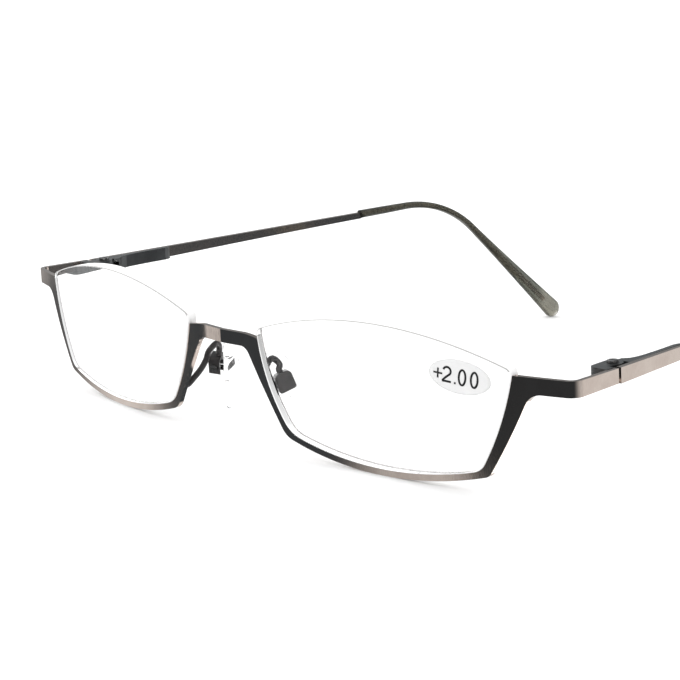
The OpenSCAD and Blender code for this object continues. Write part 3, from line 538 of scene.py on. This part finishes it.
rings = np.linspace(FIRST_RING, 1, LABEL_RINGS)[:, None, None]
oval = rings * arc(0, 0, *LABEL_HALF, 0, 360, LABEL_STEPS)[:-1]
upper = on_lens(oval.reshape(-1, 2), LABEL_THICK)
lower = on_lens(oval[::-1].reshape(-1, 2), LABEL_GAP)
points, faces = closed_skin(np.concatenate([upper, lower]).reshape(-1, oval.shape[1], 3), -1)
label = new_piece("power_label", stood(points), faces, label_film())
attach(label, "front")

bands = figure_plus(PLUS_AT) + figure_two(TWO_AT) + figure_point(POINT_AT)
for place in ZEROS_AT:
    bands += figure_zero(place)
points, faces = [], []
for band, close in bands:
    flat = band.reshape(-1, 2)
    faces += (band_faces(len(band), close) + len(points)).tolist()
    points += on_lens(flat, LABEL_THICK + INK_TOP).tolist()
    points += on_lens(flat, LABEL_THICK + INK_GAP).tolist()
figures = new_piece("power_figures", stood(points), faces, print_ink(), smooth=False)
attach(figures, "front")

# The hinges: a fork brazed inside each end piece, a middle knuckle that draws in and out of the
# long housing on the temple against a coil spring, and a slotted steel screw through the three.

# Painted shade: the hinge metal is far darker than the gunmetal of the front and temples, so that the
# block, knuckle and housing stay dark where they would mirror the pale panels.
hinge_metal = brushed_metal(
    "hinge_metal", (0.095, 0.098, 0.1, 1), (0.07, 0.072, 0.074, 1), 0.24, 2e-6, metallic=0.75
)
screw_steel = brushed_metal(
    "screw_steel", (0.3, 0.295, 0.29, 1), (0.22, 0.215, 0.21, 1), 0.2, 1e-6, metallic=0.9
)
for name in SIDES:
    for node in ("hinge_block", "hinge_slider", "hinge_housing"):
        dress(f"{name}_{node}", hinge_metal)
    for node in ("hinge_screw", "hinge_spring", "pad_screw"):
        dress(f"{name}_{node}", screw_steel)

# The temples: flat bars of the same plated metal, thinned towards the ear, that run on as a
# core wire inside the plastic tips.

for name in SIDES:
    dress(f"{name}_temple", gunmetal)

# The temple tips: moulded sleeves of smoky see-through plastic, pushed over the core wire and
# bent with it over the ear. They widen towards a round end.

SIDE_AT = np.array([69.4402, 13.0596, 0])
LEAN = math.radians(5.4)
BAR_T = 0.9
TIP_AT, TIP_RUN, TIP_Z = 75.1, 12, -0.105
TIP_BEND_R, TIP_BEND, TIP_DROP = 26, math.radians(44.4), 31.2
TIP_H, TIP_BEND_H, TIP_END_H, TIP_T = 1.6, 1.35, 4, 2.2
TIP_LIP = [0.05, 0.7, 0.9, 0.97]
TIP_LIP_AT, TIP_LIP_END = [0, 0, 0.03, 0.08], 0.15
TIP_ROWS, TIP_CAP_ROWS, TIP_CAP = 110, 16, (5.5, 88)
TIP_WIDEN, TIP_END_FLAT = 1.25, 0.35
TIP_SQUARE_OUT, TIP_SQUARE_UP = 0.75, 0.85
BULB_FROM, BULB_FADE, SMOKE_CLOUD = 0.0655, 0.002, 0.003


def beside(points):
    """Points in a temple's own frame, x outwards and y back, to the worn frame."""
    x, y, z = np.asarray(points, float).T
    c, s = math.cos(LEAN), math.sin(LEAN)
    return np.stack([x * c - y * s, x * s + y * c, z], -1) + SIDE_AT


def tip_stations(s):
    """Centre, turn and height of the sleeve at a run s: straight, round the bend, then straight."""
    curve = TIP_BEND_R * TIP_BEND
    t = np.clip(s / TIP_RUN, 0, 1)
    turn = np.clip((s - TIP_RUN) / TIP_BEND_R, 0, TIP_BEND)
    drop = np.maximum(s - TIP_RUN - curve, 0)
    y = TIP_AT + t * TIP_RUN + TIP_BEND_R * np.sin(turn) + drop * math.cos(TIP_BEND)
    z = TIP_Z - TIP_BEND_R * (1 - np.cos(turn)) - drop * math.sin(TIP_BEND)
    height = TIP_H + (TIP_BEND_H - TIP_H) * t**2
    height = height + (TIP_END_H - TIP_BEND_H) * np.clip(drop / TIP_DROP, 0, 1) ** TIP_WIDEN
    return y, z, turn, height


def tip_rows(columns=48):
    """Ovals along the sleeve, closed by a small lip in front and a round end behind.

    An oval's sine and cosine are raised to powers below 1, which squares it a little.
    """
    total = TIP_RUN + TIP_BEND_R * TIP_BEND + TIP_DROP
    cap = np.radians(np.linspace(*TIP_CAP, TIP_CAP_ROWS))
    run = np.linspace(0, total, TIP_ROWS)
    run[: len(TIP_LIP)] += TIP_LIP_END
    high = np.concatenate([TIP_LIP, np.ones(TIP_ROWS), np.cos(cap)])
    flat_end = TIP_END_FLAT + (1 - TIP_END_FLAT) * np.cos(cap)
    wide = np.concatenate([TIP_LIP, np.ones(TIP_ROWS), flat_end])
    push = np.concatenate([np.zeros(len(TIP_LIP) + TIP_ROWS), TIP_END_H / 2 * np.sin(cap)])
    y, z, turn, height = tip_stations(np.concatenate([TIP_LIP_AT, run, np.full(TIP_CAP_ROWS, total)]))
    y = (y + push * math.cos(TIP_BEND))[:, None]
    z = (z - push * math.sin(TIP_BEND))[:, None]
    turn = turn[:, None]
    b = np.linspace(0, math.tau, columns, endpoint=False)
    out = TIP_T / 2 * wide[:, None] * np.sign(np.cos(b)) * np.abs(np.cos(b)) ** TIP_SQUARE_OUT
    up = (height * high)[:, None] / 2 * np.sign(np.sin(b)) * np.abs(np.sin(b)) ** TIP_SQUARE_UP
    return np.stack([out - BAR_T / 2, y + up * np.sin(turn), z + up * np.cos(turn)], -1)


def smoky_plastic():
    """Dark olive plastic that lets a little light through, palest past the core wire's end."""
    material, paint = new_material("smoky_plastic")
    clouds = grain(paint, SMOKE_CLOUD, SMOKE_CLOUD)
    place = paint.node("ShaderNodeTexCoord", output="Object")
    back = paint.node("ShaderNodeSeparateXYZ", {}, [place], output="Y")
    sleeve = paint.blend(clouds, (0.085, 0.09, 0.075, 1), (0.125, 0.13, 0.105, 1))
    bulb = paint.blend(clouds, (0.19, 0.183, 0.15, 1), (0.24, 0.23, 0.19, 1))
    surface = paint.node(
        "ShaderNodeBsdfPrincipled",
        {},
        {
            "Base Color": paint.blend(paint.step(back, BULB_FROM, BULB_FROM + BULB_FADE), sleeve, bulb),
            "Roughness": 0.16 + clouds * 0.08,
            "Transmission Weight": 0.85,
            "IOR": 1.49,
        },
    )
    paint.node("ShaderNodeOutputMaterial", {}, {"Surface": surface})
    return material


tip_plastic = smoky_plastic()
for name, side in SIDES.items():
    points, faces = closed_skin(tip_rows(), -side)
    tip = new_piece(f"{name}_tip_sleeve", stood(beside(points), side), faces, tip_plastic)
    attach(tip, f"{name}_temple")
    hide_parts(f"{name}_temple_tip")

# The nose pads: soft clear teardrops moulded on a stiff core. The core's ear sits in a small box
# on the end of a bent wire arm, and a tiny screw lets the pad rock.

PAD_AT = np.array([9.6, 6.2, -7.5])
PAD_TURNS = [math.radians(a) for a in (28, 16, 14)]
PAD_L, PAD_W, PAD_T, PAD_DROP = 14, 8.2, 2.2, 1.8
PAD_PLATE = -1.8
PAD_LOW_SHARE, PAD_TAPER = 1.08, 0.36
PAD_BOW, PAD_ROUND = 0.8, 0.5
PAD_INDEX = 1.2


def pad_to_worn(points):
    """Pad frame to worn frame: splayed about z, sloped about y, leant about x, then moved."""
    splay, slope, lean = PAD_TURNS
    turn = Matrix.Rotation(lean, 3, "X") @ Matrix.Rotation(-slope, 3, "Y")
    turn = turn @ Matrix.Rotation(-splay, 3, "Z")
    return np.asarray(points, float) @ np.array(turn).T + PAD_AT


def pad_rows(rows=48, columns=64):
    """Ovals up the pad. Their width is an ellipse's that tapers upwards, their depth a root of a sine.

    The middle of the pad bows towards the nose at both ends, with the square of the way from there.
    """
    a = np.linspace(0, math.pi, rows + 1)[1:-1, None]
    t = (1 - np.cos(a)) / 2
    half = PAD_W / 2 * np.sqrt(np.maximum(0, 1 - (2 * t - 1) ** 2)) * (PAD_LOW_SHARE - PAD_TAPER * t)
    deep = PAD_T / 2 * np.sin(a) ** PAD_ROUND
    b = np.linspace(0, math.tau, columns, endpoint=False)
    x = PAD_PLATE - PAD_T / 2 + PAD_BOW * (2 * t - 1) ** 2 + deep * np.sin(b)
    y = half * np.cos(b)
    z = -PAD_DROP - PAD_L / 2 + PAD_L * t + 0 * b
    return np.stack([x, y, z], -1)


pad_clear = clear_plastic("pad_clear", (0.99, 0.99, 0.99, 1), 0.04, PAD_INDEX)
core_clear = clear_plastic("core_clear", (0.99, 0.99, 0.99, 1), 0.06, PAD_INDEX)
arm_metal = brushed_metal(
    "arm_metal", (0.085, 0.08, 0.08, 1), (0.06, 0.056, 0.056, 1), 0.3, 2e-6, metallic=0.5
)
for name, side in SIDES.items():
    points, faces = closed_skin(pad_rows(), -side)
    pad = new_piece(f"{name}_soft_pad", stood(pad_to_worn(points), side), faces, pad_clear)
    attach(pad, f"{name}_pad")
    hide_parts(f"{name}_nose_pad")
    dress(f"{name}_pad_core", core_clear)
    dress(f"{name}_pad_arm", arm_metal)
    dress(f"{name}_pad_box", arm_metal)

# The studio: a white table under a soft white dome, brighter on the wearer's right, and a camera
# with a long lens a little above the glasses. The metal mirrors a dark room with pale panels in it.

AZIMUTH, ELEVATION, ROLL = (math.radians(a) for a in (47.8743, 10.0246, 1.3744))
FOCAL_PX = 2362.07
FRAME_PX = 680
SENSOR = 36
EYE = Vector((0.301615, -0.318013, 0.086496))
TABLE_HALF, TABLE_MOTTLE = 8, 0.05
WHITE = 1.42
RIGHT_SHARE = 0.6

ahead = Vector((
    -math.sin(AZIMUTH) * math.cos(ELEVATION),
    math.cos(AZIMUTH) * math.cos(ELEVATION),
    -math.sin(ELEVATION),
))
level = Vector((math.cos(AZIMUTH), math.sin(AZIMUTH), 0))
upright = level.cross(ahead)
right = math.cos(ROLL) * level + math.sin(ROLL) * upright
up = math.cos(ROLL) * upright - math.sin(ROLL) * level
camera_data = bpy.data.cameras.new("camera")
camera_data.sensor_width = SENSOR
camera_data.lens = SENSOR * FOCAL_PX / FRAME_PX
camera_data.clip_start = 0.01
camera_data.clip_end = 100
camera = bpy.data.objects.new("camera", camera_data)
camera.matrix_world = Matrix.Translation(EYE) @ Matrix((right, up, -ahead)).transposed().to_4x4()
bpy.context.scene.collection.objects.link(camera)
bpy.context.scene.camera = camera

table_corners = [(x * TABLE_HALF, y * TABLE_HALF, 0) for x, y in ((-1, -1), (1, -1), (1, 1), (-1, 1))]
table_material, paint = new_material("white_table")
mottle = grain(paint, TABLE_MOTTLE, TABLE_MOTTLE)
surface = paint.node(
    "ShaderNodeBsdfPrincipled",
    {},
    {
        "Base Color": paint.blend(mottle, (0.96, 0.96, 0.96, 1), (0.97, 0.97, 0.97, 1)),
        "Roughness": 0.9,
        "Specular IOR Level": 0.0,
    },
)
paint.node("ShaderNodeOutputMaterial", {}, {"Surface": surface})
table = new_piece("table", table_corners, [(0, 1, 2, 3)], table_material, smooth=False)
table.visible_glossy = False

# Where the pale panels start and end, in degrees: round from straight in front of the glasses to
# the wearer's right or left, and, in the values named UP, above the level.
RIM_PANEL, RIM_PANEL_FADE, RIM_PANEL_END = 60.2, 2.2, (77, 90)
RIM_LOW_FROM, RIM_LOW_TURN, RIM_LOW_FADE = 16, 0.7, 1.5
CORNER_PANEL, CORNER_UP, CORNER_LIGHT = (87, 92), (-12.2, -11), 0.5
BACK_PANEL = (100, 114)
SIDE_PANEL, SIDE_UP, SIDE_LIGHT = (58, 140), (-22, -16), 1.05
NOTCH, NOTCH_END, NOTCH_UP = (98, 106), (129, 137), (-11.4, -10.2)
TABLE_PANEL, TABLE_UP, TABLE_UP_END, TABLE_LIGHT = (138, 146), (-44.5, -41.5), (-18, -26), 2.5
LOW_PANEL, LOW_UP, LOW_TILT, LOW_TILT_AT = (19, 23), (-24.3, -25.5), 0.1, 20
LOW_DIM, LOW_DIM_LIGHT = (-39.5, -37), 0.4
LOW_FULL, LOW_FULL_LIGHT = (-37, -31), 0.34
HIGH_FADE_UP, HIGH_FADE = (4, 17), 0.8
RIGHT_SLATE, LEFT_SLATE = (25, 42), (95, 110)
DEGREES = 180 / math.pi

world = bpy.data.worlds.new("studio")
world.use_nodes = True
bpy.context.scene.world = world
paint = Paint(world.node_tree)
direction = paint.node("ShaderNodeTexCoord", output="Generated")
parts = paint.node("ShaderNodeSeparateXYZ", {}, [direction])
to_left, to_back, to_top = (Value(paint, out) for out in parts.socket.node.outputs)
rightward = (0 - to_left).maths("ARCTAN2", 0 - to_back) * DEGREES
leftward = 0 - rightward
above = to_top.maths("ARCSINE") * DEGREES

low = (0 - above - RIM_LOW_FROM).maths("MAXIMUM", 0)
rim_start = RIM_PANEL + low * RIM_LOW_TURN
rim_light = paint.step(rightward, rim_start, rim_start + low * RIM_LOW_FADE + RIM_PANEL_FADE)
rim_light = rim_light * (1 - paint.step(rightward, *RIM_PANEL_END))
corner_light = paint.step(rightward, *CORNER_PANEL) * paint.step(above, *CORNER_UP) * CORNER_LIGHT
back_light = paint.step(rightward, *BACK_PANEL)
notch = paint.step(leftward, *NOTCH) * (1 - paint.step(leftward, *NOTCH_END))
notch = notch * paint.step(above, *NOTCH_UP)
side_light = paint.step(leftward, *SIDE_PANEL) * (1 - notch) * paint.step(above, *SIDE_UP) * SIDE_LIGHT
table_light = paint.step(leftward, *TABLE_PANEL) * paint.step(above, *TABLE_UP_END)
table_light = table_light * paint.step(above, *TABLE_UP)
near_low = paint.step(leftward, *LOW_DIM) * LOW_DIM_LIGHT
near_low = near_low + paint.step(leftward, *LOW_FULL) * LOW_FULL_LIGHT
low_light = paint.step(above + (rightward - LOW_TILT_AT) * LOW_TILT, *LOW_UP)
low_light = low_light * paint.step(rightward, *LOW_PANEL) * near_low
lit = rim_light
for panel in (corner_light, back_light, side_light, low_light, table_light):
    lit = lit.maths("MAXIMUM", panel)
height_fade = 1 - paint.step(above, *HIGH_FADE_UP) * HIGH_FADE
slate = paint.step(rightward, *RIGHT_SLATE).maths("MAXIMUM", paint.step(leftward, *LEFT_SLATE))
dark = paint.blend(slate, (0.042, 0.049, 0.055, 1), (0.06, 0.074, 0.086, 1))
mirrored = paint.blend(lit * height_fade, dark, (0.98, 1, 1, 1))
table_share = table_light * TABLE_LIGHT + 1
mirrored = paint.node("ShaderNodeVectorMath", {"operation": "SCALE"}, {0: mirrored, 3: table_share})
mirror_ray = paint.node("ShaderNodeLightPath", output="Is Glossy Ray")
through_ray = paint.node("ShaderNodeLightPath", output="Is Transmission Ray")
soft = paint.node("ShaderNodeCombineXYZ", {}, [(1 - to_left * RIGHT_SHARE) * WHITE] * 3)
seen = paint.blend(mirror_ray * (1 - through_ray), soft, mirrored)
light = paint.node("ShaderNodeBackground", {}, {"Color": seen, "Strength": 1.0})
paint.node("ShaderNodeOutputWorld", {}, {"Surface": light})

bpy.context.scene.view_settings.view_transform = "Standard"
bpy.context.scene.view_settings.look = "None"
